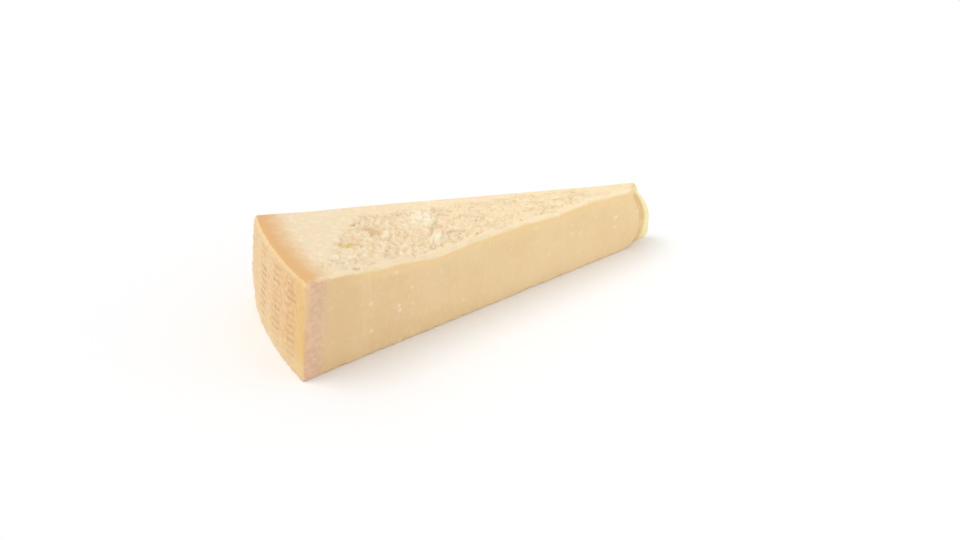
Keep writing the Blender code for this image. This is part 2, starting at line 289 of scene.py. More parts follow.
class ChunkColours(bpy.types.PropertyGroup):
    """Colours of the paste, of the rind and of what lies in them, with painted shade and painted
    highlights among them.
    """

    # The cut sides' own yellower paste, made darker and warmer by painted shade and painted warm
    # bounce light
    cut_paste_and_warm_shade: colour("Cut paste", "Cut sides beside the rind", (0.816, 0.581, 0.313))
    cut_core: colour("Cut core", "Cut sides at the tip", (0.866, 0.638, 0.343))
    # Upper part of the cut sides: partly a yellower band of paste, partly painted light from above
    cut_brow: colour("Cut brow", "Upper part of the cut sides", (0.910, 0.672, 0.340))
    torn_paste: colour("Torn paste", "Top beside the rind", (0.855, 0.695, 0.468))
    torn_core: colour("Torn core", "Top towards the tip", (0.955, 0.757, 0.478))
    # Paler tint: a painted highlight on the torn top's raised relief and lumps, and the paste's own
    # paler tone on the crumbs and in the mottle
    crest: colour("Crest", "Raised crumbs and scored edges", (0.975, 0.870, 0.655))
    # Painted highlight along the near top edge
    edge_highlight: colour("Scored edge", "Line along the near top edge", (0.990, 0.840, 0.600))
    # Painted shade in the hollows of the torn top and in its pit
    crevice_shade: colour("Crevice", "Hollows between crumbs", (0.815, 0.630, 0.410))
    # Brown of the hollow, also used for the painted shadow beside the ledge
    brown_and_shadow: colour("Ripe spots", "Brown hollow of the top", (0.775, 0.535, 0.280))
    olive: colour("Olive spot", "Notch beside the hollow", (0.730, 0.580, 0.230))
    rind_top: colour("Rind on top", "Band where the rind shows on the top", (0.756, 0.444, 0.187))
    rind_side: colour("Rind on the side", "Band where the rind shows on a cut side",
                      (0.738, 0.480, 0.320))
    rind_crumb: colour("Crumbs of the rind", "Paler grain of the rind's cut side",
                       (0.845, 0.585, 0.385))
    rind_shade: colour("Beside the rind", "Cut sides next to the rind", (0.785, 0.558, 0.290))
    rind_face: colour("Rind face", "Outside of the rind", (0.835, 0.580, 0.302))
    rind_near: colour("Rind near edge", "Outside of the rind by the near cut",
                      (0.770, 0.450, 0.185))
    rind_gold: colour("Rind edge", "Waxy upright edge of the rind", (0.820, 0.540, 0.208))
    # Painted highlight on the upper edge of the rind and on the corner beside it
    rind_edge_highlight: colour("Rind crest", "Scraped upper edge of the rind", (0.880, 0.640, 0.340))
    rind_mark: colour("Rind marks", "Pin-pricks in the rind", (0.600, 0.330, 0.150))
    # Painted shade in the groove beside the broken nose
    shaded_groove: colour("Groove", "Golden groove beside the broken nose", (0.680, 0.465, 0.180))
    # The nose's outermost lip: paler broken paste with a painted highlight on it
    pale_lip_and_highlight: colour("Lip of the nose", "Outermost edge of the broken nose", (0.955, 0.890, 0.500))
    rind_foot: colour("Foot of the rind", "Scraped lower edge of the rind", (0.850, 0.655, 0.385))
    crystal: colour("Crystals", "White specks in the paste", (0.970, 0.890, 0.710))


class StudioSettings(bpy.types.PropertyGroup):
    """The camera, the light and the floor."""

    azimuth: bpy.props.FloatProperty(
        name="Azimuth", description="Direction of the camera round the chunk",
        default=math.radians(-24.98), subtype="ANGLE")
    elevation: bpy.props.FloatProperty(
        name="Elevation", description="Angle of the camera over the horizon",
        default=math.radians(34.85), subtype="ANGLE")
    distance: bpy.props.FloatProperty(
        name="Distance", description="From the camera to the spot that it aims at",
        default=0.7313, unit="LENGTH")
    target: bpy.props.FloatVectorProperty(
        name="Target", description="Spot on the floor in the middle of the picture",
        default=(0.0107, 0.0090, 0.0), subtype="TRANSLATION")
    lens: bpy.props.FloatProperty(
        name="Lens", description="Focal length on a 36 mm wide sensor, in millimetres",
        default=57.75)
    sky: bpy.props.FloatProperty(
        name="Sky", description="Strength of the even light from all round", default=0.78)
    key: bpy.props.FloatProperty(
        name="Key", description="Strength of the soft light from behind", default=0.95)
    side: bpy.props.FloatProperty(
        name="Side", description="Power of the panel of light beyond the nose, in watts",
        default=0.16)
    floor: colour("Floor", "Pale floor", (0.955, 0.955, 0.960))


def smooth_step(value, low, high):
    """0 below low, 1 above high, and the curve 3t² - 2t³ between them."""
    share = np.clip((value - low) / (high - low), 0.0, 1.0)
    return share * share * (3.0 - 2.0 * share)


def bell(place, middle, reach):
    """1 at the middle, a third at the reach on either side of it, and nearly 0 at twice that."""
    return np.exp(-(((place - middle) / reach) ** 2))


def wavy(place, waves):
    """Sum of sines along a line, each of its own height, pace and start."""
    return sum(height * np.sin(place / pace + start) for height, pace, start in waves)


def spread(line, steps, length, band):
    """Distance along length of a grid line: straight in three stretches, with the outer lines close.

    The first and the last EDGE_STEPS lines share a band of the given width at either end.
    """
    last = steps - EDGE_STEPS
    middle = band + (length - 2.0 * band) * (line - EDGE_STEPS) / (last - EDGE_STEPS)
    start = band * line / EDGE_STEPS
    end = length - band * (steps - line) / EDGE_STEPS
    return np.where(line < EDGE_STEPS, start, np.where(line > last, end, middle))


def heel_radius(size, side, z):
    """Radius of the rind: the wheel's radius, less a lean with height, less a tuck at the far foot.

    The tuck is the square of the share of height left below TUCK_HEIGHT times the cube of side.
    """
    foot = np.clip(1.0 - z / TUCK_HEIGHT, 0.0, 1.0)
    tuck = TUCK_DEPTH * foot**2 * np.clip(side, 0.0, 1.0) ** 3
    return size.wheel_radius - size.rind_lean * z - tuck


def nose_radius(size, side, z):
    """Distance of the nose from the axis: an end that slants across and bends back upwards.

    To the smallest distance are added powers of the share of height and of side that each
    feature covers: the bend back, the slant on the near side, the shoulder on the far side,
    the chip at the near foot and the rounding of the foot.
    """
    rise = np.clip((z - NOSE_UPRIGHT) / NOSE_SETBACK_RISE, 0.0, 1.2)
    setback = NOSE_SETBACK * rise**1.7
    near = np.clip((NOSE_FORWARD - side) / (1.0 + NOSE_FORWARD), 0.0, 1.0)
    far = np.clip((side - NOSE_FORWARD) / (1.0 - NOSE_FORWARD), 0.0, 1.0)
    slant = NOSE_SLANT * (1.0 - NOSE_SLANT_FADE * rise**1.5) * near**1.2
    shoulder = NOSE_SHOULDER * far**2 * (1.0 - NOSE_SHOULDER_TURN * rise**2)
    low = np.clip(1.0 - z / NOSE_CHIP_HEIGHT, 0.0, 1.0)
    chip = NOSE_CHIP * low**2 * np.clip(-side, 0.0, 1.0)
    foot = NOSE_FOOT * np.clip(1.0 - z / NOSE_FOOT, 0.0, 1.0) ** 2
    return size.nose_radius + setback + slant + shoulder + chip + foot


def top_height(size, x, y):
    """Height of the top before it was torn: a plane, with bells and sines along its near edge."""
    plane = size.heel_height - size.fall_along * (x + size.wheel_radius) - size.fall_across * y
    near = smooth_step(-y / np.maximum(-x, 0.01), *WAVES_BEGIN)
    waves = sum(height * bell(x, middle, reach) for height, middle, reach in WAVES)
    ripple = wavy(x, RIPPLES)
    front_gap = y * np.cos(size.half_angle) - x * np.sin(size.half_angle)
    worn = bell(x, WORN_MIDDLE, WORN_REACH[0]) * bell(front_gap, 0.0, WORN_REACH[1])
    dip = bell(x, DIP_MIDDLE[0], DIP_REACH[0]) * bell(y, DIP_MIDDLE[1], DIP_REACH[1])
    return plane + near * (waves + ripple) - WORN_DEPTH * worn - DIP_DEPTH * dip


def split_cells(x, y, cell, step, tilt, dome, seed):
    """Height of a split face, and the middle of the cell that each point belongs to.

    A point belongs to the nearest of some scattered centres, one in each square of a grid of
    the cell's width, at a random place in it. The height is the centre's own random step, plus
    its own random slope times the distance from it, less dome times that distance squared.
    """
    draw = np.random.default_rng(seed)
    centre = draw.uniform(*CENTRE_RANGE, (2, TABLE, TABLE))
    random = draw.uniform(-1.0, 1.0, (3, TABLE, TABLE))
    column = np.floor(x / cell).astype(int)
    row = np.floor(y / cell).astype(int)
    nearest = np.full(x.shape, np.inf)
    height = np.zeros(x.shape)
    middle_x = np.zeros(x.shape)
    middle_y = np.zeros(x.shape)
    for ahead in (-1, 0, 1):
        for beside in (-1, 0, 1):
            i = (column + ahead) % TABLE
            j = (row + beside) % TABLE
            dx = x / cell - (column + ahead + centre[0, i, j])
            dy = y / cell - (row + beside + centre[1, i, j])
            gap = dx * dx + dy * dy
            slope = random[1, i, j] * dx + random[2, i, j] * dy
            own = step * random[0, i, j] + tilt * cell * slope - dome * gap
            closer = gap < nearest
            height = np.where(closer, own, height)
            middle_x = np.where(closer, x - cell * dx, middle_x)
            middle_y = np.where(closer, y - cell * dy, middle_y)
            nearest = np.minimum(gap, nearest)
    return height, middle_x, middle_y


def mound(x, y, at, turn, reach, height):
    """A soft bump or hollow, the product of two bells, its length turned from +X in degrees."""
    cosine, sine = np.cos(np.radians(turn)), np.sin(np.radians(turn))
    along = (x - at[0]) * cosine + (y - at[1]) * sine
    across = (y - at[1]) * cosine - (x - at[0]) * sine
    return height * bell(along, 0.0, reach[0]) * bell(across, 0.0, reach[1])


def ledge(x, y):
    """One split across the chunk: it stands up before the line and is torn low beyond it."""
    ahead = (x - LEDGE_SPOT[0]) * np.cos(LEDGE_TURN) + (y - LEDGE_SPOT[1]) * np.sin(LEDGE_TURN)
    ahead += wavy(y, LEDGE_RIPPLES)
    raised = LEDGE_RISE * np.exp(np.minimum(ahead, 0.0) / LEDGE_RISE_REACH)
    fallen = -LEDGE_DROP * np.exp(-np.maximum(ahead, 0.0) / LEDGE_DROP_REACH)
    return np.where(ahead < 0.0, raised, fallen)


def features(x, y):
    """The marks that this chunk has: three hollows and two large lumps."""
    return sum(mound(x, y, *mark) for mark in MARKS)


def torn_share(size, x, y):
    """How torn the top is: the product of S-curves of the gaps to the margins and to the ends."""
    cosine, sine = np.cos(size.half_angle), np.sin(size.half_angle)
    front_gap = y * cosine - x * sine
    back_gap = -y * cosine - x * sine
    uneven = wavy(x, MARGIN_RIPPLES)
    narrow = front_gap + uneven - FRONT_MARGIN_EXTRA * bell(x, *FRONT_MARGIN_WIDE)
    narrow -= HEEL_CORNER_EXTRA * smooth_step(-x, *HEEL_CORNER_FROM)
    front = smooth_step(narrow, FRONT_MARGIN - FRONT_FADE[0], FRONT_MARGIN + FRONT_FADE[1])
    margin = BACK_MARGIN + BACK_MARGIN_EXTRA * smooth_step(-x, *BACK_MARGIN_FROM)
    back = smooth_step(back_gap - uneven, margin - BACK_FADE, margin + BACK_FADE)
    start = np.minimum(TORN_START - TORN_SKEW * (y - TORN_MIDDLE), TORN_FIRST)
    begun = 1.0 - smooth_step(-x, start - START_FADE[0] + uneven, start + START_FADE[1] + uneven)
    ended = smooth_step(-x, TORN_END - END_FADE[0], TORN_END + END_FADE[1])
    inside = begun * (TAIL_SHARE + (1.0 - TAIL_SHARE) * ended)
    return front * back * (QUIET_SHARE + (1.0 - QUIET_SHARE) * inside)


def torn_height(size, x, y):
    """Relief of the torn top: crags and lumps, ridges across the chunk, and its own features.

    The lumps lie across the chunk, because their plane is stretched and sheared, and they are
    lower towards the nose. Ridges are one less the size of a sine. The hollows and mounds are
    read mostly at the middle of each lump, so that they break off along lumps.
    """
    long_bend, short_bend = RIDGE_BENDS
    bend = wavy(y, ((*long_bend, 0.0), (*short_bend, x / RIDGE_DRIFT)))
    crag = (size.crag_width, size.crag_step, size.crag_tilt)
    lump = (size.lump_width, size.lump_step, size.lump_tilt)
    crags, _, _ = split_cells(x, y, *crag, 0.0, SEED)
    wide, sheared, narrow = LUMP_STRETCH
    u, v = wide * (x + bend) + sheared * y, narrow * y
    lumps, lump_u, lump_v = split_cells(u, v, *lump, LUMP_DOME, SEED + 1)
    lump_y = lump_v / narrow
    lump_x = (lump_u - sheared * lump_y) / wide - bend
    large = FAR_SHARE + (1.0 - FAR_SHARE) * smooth_step(-x, *FAR_FROM)
    ridged = bell(x, RIDGE_MIDDLE, RIDGE_REACH)
    wave = 1.0 - np.abs(np.sin((x + RIDGE_BEND * bend + RIDGE_SHEAR * y) * np.pi / RIDGE_PITCH))
    ridges = RIDGE_HEIGHT * ridged * (2.0 * wave - 1.0)
    lumpy, smooth = FEATURE_SHARES
    broken = lumpy * features(lump_x, lump_y) + smooth * features(x, y)
    lumpy, smooth = LEDGE_SHARES
    split = lumpy * ledge(lump_x, lump_y) + smooth * ledge(x, y)
    relief = large * (crags + lumps) + ridges + split + broken
    return torn_share(size, x, y) * relief


def grain_height(size, x, y):
    """The finest grain of the torn top: two more sizes of cells, a little of them everywhere.

    Their plane is stretched and sheared, so that the grains lie across the chunk.
    """
    share = GRAIN_EVERYWHERE + (1.0 - GRAIN_EVERYWHERE) * torn_share(size, x, y)
    wide, sheared, narrow = GRAIN_STRETCH
    stretched = (wide * x + sheared * y, narrow * y)
    large, _, _ = split_cells(*stretched, *GRAIN_LARGE, GRAIN_DOMES[0], SEED + 2)
    small, _, _ = split_cells(*stretched, *GRAIN_SMALL, GRAIN_DOMES[1], SEED + 3)
    return share * (large + small)


def rind_dots(arc, z):
    """Depth share of the pin-pricks, and how stained the rind is round each row of them.

    Dots stand in slanted rows of four, and the rows repeat up each column. The share is 1 in
    the middle of a dot and 0 outside it. The stain fades with the gap to a row's own line.
    """
    draw = np.random.default_rng(SEED + 7)
    strength = draw.uniform(*DOT_STRENGTHS, (len(DOT_COLUMNS), TABLE, ROW_DOTS))
    jitter = draw.uniform(-DOT_JITTER, DOT_JITTER, (2, *strength.shape))
    depth = np.zeros(arc.shape)
    stain = np.zeros(arc.shape)
    for number, column in enumerate(DOT_COLUMNS):
        along = arc - column
        row = (z - DOT_SLANT * along - DOT_FIRST) / DOT_ROW
        whole = np.round(row).astype(int)
        rise = np.abs(row - whole) * DOT_ROW
        inside = strength[number, whole, 0] * (
            1.0 - smooth_step(np.abs(along) / DOT_STEP, *STAIN_WIDTHS))
        stain = np.maximum(stain, inside * (1.0 - smooth_step(rise, *STAIN_GAPS)))
        for place in range(ROW_DOTS):
            offset = (place - 0.5 * (ROW_DOTS - 1)) * DOT_STEP
            row = (z - DOT_SLANT * offset - DOT_FIRST) / DOT_ROW
            whole = np.round(row).astype(int)
            rise = (row - whole) * DOT_ROW + jitter[0, number, whole, place]
            aside = along - offset + jitter[1, number, whole, place]
            dot = 1.0 - smooth_step(np.hypot(aside, rise), 0.3 * DOT_RADIUS, DOT_RADIUS)
            depth = np.maximum(depth, dot * strength[number, whole, place])
    low, high = DOT_HEIGHTS
    height = smooth_step(z, low - DOT_FADE, low + DOT_FADE)
    height *= 1.0 - smooth_step(z, high - DOT_FADE, high + DOT_FADE)
    return depth * height, stain * height


def ragged(place, pitch, seed):
    """A jagged line: random heights from 0 to 1 at even steps, joined by straight lines."""
    heights = np.random.default_rng(seed).uniform(0.0, 1.0, JAGS)
    step = place / pitch
    whole = np.floor(step).astype(int)
    share = step - whole
    return heights[whole % JAGS] * (1.0 - share) + heights[(whole + 1) % JAGS] * share


def edge_damage(x, side, reach, gaps):
    """How far the cut sides, the rind and the nose are worn in, and the share of the groove.

    Chips are a jagged line times the two pulls of the faces at an edge, which fall from 1 at a
    face to 0 at the edge band's width. The groove is a bell of the gap to the nose.
    """
    beside, behind, before, above, below = (
        np.clip(1.0 - gap / EDGE_BAND, 0.0, 1.0) for gap in gaps)
    foot = FOOT_CHIP * ragged(x + side, CHIP_PITCH, SEED + 4) ** 2 * below
    crest = CREST_CHIP * ragged(x + side, 1.3 * CHIP_PITCH, SEED + 5) ** 2 * above
    shaded_groove = np.exp(-(((gaps[2] - GROOVE_PLACE) / GROOVE_REACH) ** 2)) * (side < 0.0) * beside
    heel = HEEL_CHIP * ragged(reach, CHIP_PITCH, SEED + 6) * np.maximum(below, 0.6 * above)
    patches, _, _ = split_cells(reach, gaps[4], *RIND_PATCH, 0.0, SEED + 8)
    heel = behind * (heel + RIND_WEAR + patches)
    nose = NOSE_WEAR * ragged(gaps[4], 1.2 * CHIP_PITCH, SEED + 9) * before * beside
    return beside * (foot + crest) + GROOVE_DEPTH * shaded_groove, heel, nose, shaded_groove


def rounded(gaps, radii):
    """New gaps to the faces, so that the edges between them are round.

    A face's pull is 1 at the face and falls evenly to 0 at its radius. Where the root of the
    sum of squared pulls is over 1, every pull is divided by it: a quarter circle or a ball.
    """
    pulls = [np.clip(1.0 - gap / radius, 0.0, 1.0) for gap, radius in zip(gaps, radii)]
    total = np.maximum(np.sqrt(sum(pull * pull for pull in pulls)), 1.0)
    return [np.where(pull > 0.0, radius * (1.0 - pull / total), gap)
            for gap, radius, pull in zip(gaps, radii, pulls)]


def wedge_surface(size, lines):
    """Places of the grid's corners on the wedge, and the fields that its finish reads.

    A corner's three line numbers give its distance from the wheel's axis between the rind and
    the nose, its angle between the two cut sides and its height between the floor and the top.
    Height and distance depend on each other, so they are worked out in turns.
    """
    along, across, up = (lines / STEPS).T
    side = 2.0 * across - 1.0
    z = up * size.heel_height
    for _ in range(PASSES):
        heel = heel_radius(size, side, z)
        nose = nose_radius(size, side, z)
        radius = heel - spread(lines[:, 0], STEPS[0], heel - nose, EDGE_BAND)
        half = radius * size.half_angle
        band = np.minimum(EDGE_BAND, 0.5 * half)
        reach = spread(lines[:, 1], STEPS[1], 2.0 * half, band) - half
        x = -radius * np.cos(reach / radius)
        y = radius * np.sin(reach / radius)
        top = top_height(size, x, y)
        z = spread(lines[:, 2], STEPS[2], top, EDGE_BAND)

    upper = smooth_step(z, 0.0, UPPER_FROM)
    soft = np.minimum(FOOT_EDGE + (TOP_EDGE - FOOT_EDGE) * upper, 0.4 * half)
    back = FOOT_EDGE + (CORNER_EDGE - FOOT_EDGE) * upper
    brow = NOSE_EDGE + (TOP_EDGE - NOSE_EDGE) * smooth_step(radius, *BROW_FROM)
    gaps = (half - np.abs(reach), heel - radius, radius - nose, top - z, z)
    radii = (soft, back, NOSE_EDGE, brow, FOOT_EDGE)
    beside, behind, before, above, below = rounded(gaps, radii)
    worn, worn_back, worn_nose, shaded_groove = edge_damage(x, side, reach, gaps)
    radius = np.where(gaps[1] < back, heel - behind, radius)
    radius = np.where(gaps[2] < NOSE_EDGE, nose + before, radius) - worn_back + worn_nose
    reach = np.sign(reach) * (half - beside - worn)
    z = np.where(up > 0.5, top - above, below)

    is_heel = lines[:, 0] == 0
    dots, stain = (np.where(is_heel, share, 0.0) for share in rind_dots(reach, z))
    radius = radius - DOT_DEPTH * dots
    x = -radius * np.cos(reach / radius)
    y = radius * np.sin(reach / radius)
    is_top = up == 1.0
    relief = np.where(is_top, torn_height(size, x, y) + grain_height(size, x, y), 0.0)
    fields = {
        "rind_depth": (heel - radius) / EDGE_BAND,
        "torn": np.where(is_top, torn_share(size, x, y), 0.0),
        "relief": relief / MILLIMETRE,
        "dots": dots,
        "stain": stain,
        "shaded_groove": shaded_groove,
        "top": np.where(is_top, 1.0, 0.0),
        "heel": np.where(is_heel, 1.0, 0.0),
        "end": np.where(lines[:, 0] == STEPS[0], 1.0, 0.0),
        "side": side,
        "below_top": gaps[3] / MILLIMETRE,
        "near_edge": (half + reach) / MILLIMETRE,
        # The brown hollow, and the painted shadow beside the ledge
        "hollow": np.maximum(mound(x, y, *BROWN_HOLLOW), mound(x, y, *LEDGE_SHADOW)),
        # Painted shade in the pit
        "pit": mound(x, y, *PIT_SHADE),
        "notch": np.maximum(mound(x, y, *OLIVE_STAIN), mound(x, y, *OLIVE_CRACK)),
        "rim": mound(x, y, *PALE_RIM),
        # Painted highlight on the raised lumps
        "lumps": np.maximum(mound(x, y, *PALE_LUMP), mound(x, y, *SMALL_PALE_LUMP)),
    }
    return np.column_stack((x, y, z + relief)), fields


def sheet_faces(first, second, place):
    """Quads between neighbouring lines of two lists, as corners that place() makes from lines."""
    a, b = np.meshgrid(np.arange(len(first) - 1), np.arange(len(second) - 1), indexing="ij")
    a, b = a.ravel(), b.ravel()
    ring = ((a, b), (a + 1, b), (a + 1, b + 1), (a, b + 1))
    return np.stack([place(first[i], second[j]) for i, j in ring], axis=1)


def corner(i, j, k):
    """One number for each grid corner, made of its three line numbers."""
    i, j, k = np.broadcast_arrays(i, j, k)
    return (i * (STEPS[1] + 1) + j) * (STEPS[2] + 1) + k


def side_rows():
    """Lines up a cut side: every line at its two edges, and one in SIDE_ROW between them."""
    middle = np.arange(EDGE_STEPS, STEPS[2] - EDGE_STEPS, SIDE_ROW)
    return np.concatenate((np.arange(EDGE_STEPS), middle,
                           np.arange(STEPS[2] - EDGE_STEPS, STEPS[2] + 1)))


def shell_faces():
    """Faces of the closed grid box: five fine sheets, and one large face inside the foot's rim.

    The cut sides have fewer rows than the heel and the nose. Their first and last faces in a
    row so take in every corner of the heel's or nose's edge, and have more than four corners.
    """
    nx, ny, nz = STEPS
    i_all, j_all, k_all = (np.arange(steps + 1) for steps in STEPS)
    rows = side_rows()
    faces = []
    top = sheet_faces(i_all, j_all, lambda i, j: corner(i, j, nz))
    faces += top.tolist()
    heel = sheet_faces(j_all, k_all, lambda j, k: corner(0, j, k))
    nose = sheet_faces(j_all, k_all, lambda j, k: corner(nx, j, k))
    faces += heel[:, ::-1].tolist() + nose.tolist()
    for j, turn in ((0, 1), (ny, -1)):
        inner = sheet_faces(i_all[1:-1], rows, lambda i, k: corner(i, j, k))
        faces += inner[:, ::turn].tolist()
        for edge, next_line, flip in ((0, 1, turn), (nx, nx - 1, -turn)):
            for low, high in zip(rows[:-1], rows[1:]):
                up = corner(edge, j, np.arange(high, low - 1, -1)).tolist()
                face = up + [int(corner(next_line, j, low)), int(corner(next_line, j, high))]
                faces.append(face[::flip])
    rim = foot_rim(faces, i_all, j_all)
    faces.append(rim)
    return faces


def foot_rim(faces, i_all, j_all):
    """Adds the quads of the underside's rim to faces, and returns the ring that they leave."""
    nx, ny, _ = STEPS
    e = EDGE_STEPS
    for i_lines, j_lines in ((i_all[:e + 1], j_all), (i_all[-e - 1:], j_all),
                             (i_all[e:-e], j_all[:e + 1]), (i_all[e:-e], j_all[-e - 1:])):
        faces += sheet_faces(i_lines, j_lines, lambda i, j: corner(i, j, 0))[:, ::-1].tolist()
    ring = (corner(i_all[e:nx - e], e, 0), corner(nx - e, j_all[e:ny - e], 0),
            corner(i_all[nx - e:e:-1], ny - e, 0), corner(e, j_all[ny - e:e:-1], 0))
    return np.concatenate(ring).tolist()[::-1]


def new_piece(name, points, faces, material, fields=None):
    """A mesh object at the origin from arrays, shaded smooth, with its fields as attributes."""
    mesh = bpy.data.meshes.new(name)
    mesh.from_pydata(points.tolist(), [], faces)
    mesh.shade_smooth()
    for field, values in (fields or {}).items():
        layer = mesh.attributes.new(field, "FLOAT", "POINT")
        layer.data.foreach_set("value", values.astype(np.float32))
    mesh.materials.append(material)
    mesh.validate()
    piece = bpy.data.objects.new(name, mesh)
    bpy.context.scene.collection.objects.link(piece)
    return piece


def add(tree, kind, values=(), **settings):
    """A node of the given kind. values pairs an input's name or number with a value or a socket."""
    node = tree.nodes.new(kind)
    for name, value in settings.items():
        setattr(node, name, value)
    for key, value in values:
        if isinstance(value, bpy.types.NodeSocket):
            tree.links.new(value, node.inputs[key])
        else:
            node.inputs[key].default_value = value
    return node


def math_node(tree, operation, first, second=0.0, third=0.0):
    """The result of one sum, product or power of sockets or numbers."""
    values = ((0, first), (1, second), (2, third))
    return add(tree, "ShaderNodeMath", values, operation=operation).outputs[0]


def ramp(tree, value, low, high):
    """0 where value is below low, 1 above high, with an S-curve between them."""
    values = (("Value", value), ("From Min", low), ("From Max", high))
    node = add(tree, "ShaderNodeMapRange", values, interpolation_type="SMOOTHSTEP")
    return node.outputs["Result"]


def blend(tree, factor, below, above):
    """The colour below, and above it another in the given share."""
    values = ((0, factor), (6, below), (7, above))
    return add(tree, "ShaderNodeMix", values, data_type="RGBA").outputs[2]


def field(tree, name):
    """One of the fields that the mesh carries."""
    return add(tree, "ShaderNodeAttribute", attribute_name=name).outputs["Fac"]


def noise(tree, where, scale, detail=2.0):
    """Smooth noise about one half."""
    values = (("Vector", where), ("Scale", scale), ("Detail", detail))
    return add(tree, "ShaderNodeTexNoise", values).outputs["Fac"]


def opaque(tint):
    """A colour property as the four numbers that a socket takes."""
    return (*tint, 1.0)


def specks(tree, where, scale, share, size):
    """White crystals: round spots in a small share of the cells of a cell pattern."""
    values = (("Vector", where), ("Scale", scale))
    cells = add(tree, "ShaderNodeTexVoronoi", values)
    pick = add(tree, "ShaderNodeSeparateColor", ((0, cells.outputs["Color"]),)).outputs[0]
    chosen = math_node(tree, "LESS_THAN", pick, share)
    return times(tree, chosen, falling(tree, cells.outputs["Distance"], 0.1 * size, size))


def times(tree, first, second):
    """The product of two sockets or numbers."""
    return math_node(tree, "MULTIPLY", first, second)


def falling(tree, value, low, high):
    """1 where value is below low, 0 above high, with an S-curve between them."""
    return math_node(tree, "SUBTRACT", 1.0, ramp(tree, value, low, high))


def cut_tint(tree, colours, where, core, mottle):
    """Cut sides: soft patches, faint upright streaks, white crystals and their dust, painted light
    on their upper part, and on the nose a painted highlight on its lip and painted shade in its
    groove.
    """
    patches = noise(tree, where, 55.0, 3.0)
    tall = add(tree, "ShaderNodeMapping", (("Vector", where), ("Scale", (320.0, 320.0, 22.0))))
    streaks = noise(tree, tall.outputs[0], 1.0, 2.0)
    # The cut paste is darker and warmer than the top: partly its own yellower tone, partly painted
    # warm shade
    paste = blend(tree, core, opaque(colours.cut_paste_and_warm_shade), opaque(colours.cut_core))
    pale = blend(tree, 0.30, paste, opaque(colours.torn_core))
    tint = blend(tree, ramp(tree, patches, 0.30, 0.72), paste, pale)
    tint = blend(tree, times(tree, ramp(tree, streaks, 0.55, 0.80), 0.12), tint,
                 opaque(colours.torn_core))
    # Painted light: the upper part of the cut sides is made brighter and yellower, partly a real
    # band of paste, and a thin painted highlight runs just under the top edge
    brow = falling(tree, field(tree, "below_top"), 2.5, 8.0)
    tint = blend(tree, times(tree, brow, 0.8), tint, opaque(colours.cut_brow))
    brow = falling(tree, field(tree, "below_top"), 0.3, 2.0)
    tint = blend(tree, times(tree, brow, 0.7), tint, opaque(colours.torn_core))
    tint = blend(tree, times(tree, ramp(tree, mottle, 0.45, 0.70), 0.16), tint,
                 opaque(colours.torn_core))
    crystals = specks(tree, where, 150.0, 0.40, 0.26)
    dust = specks(tree, where, 420.0, 0.24, 0.40)
    white = math_node(tree, "MAXIMUM", crystals, times(tree, dust, 0.40))
    tint = blend(tree, times(tree, white, 0.62), tint, opaque(colours.crystal))
    end = field(tree, "end")
    tint = blend(tree, end, tint, opaque(colours.cut_brow))
    low = ramp(tree, field(tree, "below_top"), 0.8, 5.5)
    shaded = times(tree, end, falling(tree, field(tree, "side"), -0.75, -0.30))
    # Painted highlight on the nose's outermost lip, over its paler broken paste
    pale_lip_and_highlight = times(tree, times(tree, end, low), ramp(tree, field(tree, "side"), -0.55, -0.20))
    tint = blend(tree, times(tree, pale_lip_and_highlight, 0.85), tint, opaque(colours.pale_lip_and_highlight))
    flecks = times(tree, end, ramp(tree, mottle, 0.46, 0.62))
    tint = blend(tree, times(tree, flecks, 0.5), tint, opaque(colours.torn_core))
    # Painted shade in the groove and on the near part of the nose's end, where the surface turns
    # away from the light
    broken = math_node(tree, "MAXIMUM", field(tree, "shaded_groove"), shaded)
    broken = times(tree, times(tree, broken, low), ramp(tree, patches, 0.20, 0.60))
    return blend(tree, times(tree, broken, 0.9), tint, opaque(colours.shaded_groove))


def torn_tint(tree, colours, where, core, mottle):
    """The top: darker in hollows and paler on crests of its relief, as painted shade and painted
    highlight, with a brown hollow and a painted shadow beside the ledge.
    """
    relief = field(tree, "relief")
    torn = field(tree, "torn")
    paste = blend(tree, core, opaque(colours.torn_paste), opaque(colours.torn_core))
    # Painted shade: darker where the relief is low
    tint = blend(tree, ramp(tree, relief, -1.3, 0.1), opaque(colours.crevice_shade), paste)
    # Painted highlight on the raised parts of the relief
    tint = blend(tree, ramp(tree, relief, 0.25, 1.4), tint, opaque(colours.crest))
    tint = blend(tree, times(tree, ramp(tree, mottle, 0.50, 0.68), 0.40), tint,
                 opaque(colours.crest))
    yellow = ramp(tree, noise(tree, where, 160.0, 2.0), 0.50, 0.66)
    tint = blend(tree, times(tree, yellow, times(tree, torn, 0.30)), tint,
                 opaque(colours.cut_core))
    # Painted highlight on the two raised lumps
    tint = blend(tree, times(tree, field(tree, "lumps"), 0.9), tint, opaque(colours.crest))
    tint = blend(tree, times(tree, field(tree, "rim"), 0.90), tint, opaque(colours.crest))
    # Painted shade in the pit
    tint = blend(tree, times(tree, field(tree, "pit"), 0.7), tint, opaque(colours.crevice_shade))
    # The brown hollow, and the painted shadow beside the ledge
    tint = blend(tree, ramp(tree, field(tree, "hollow"), 0.15, 0.85), tint, opaque(colours.brown_and_shadow))
    return blend(tree, ramp(tree, field(tree, "notch"), 0.10, 0.85), tint, opaque(colours.olive))


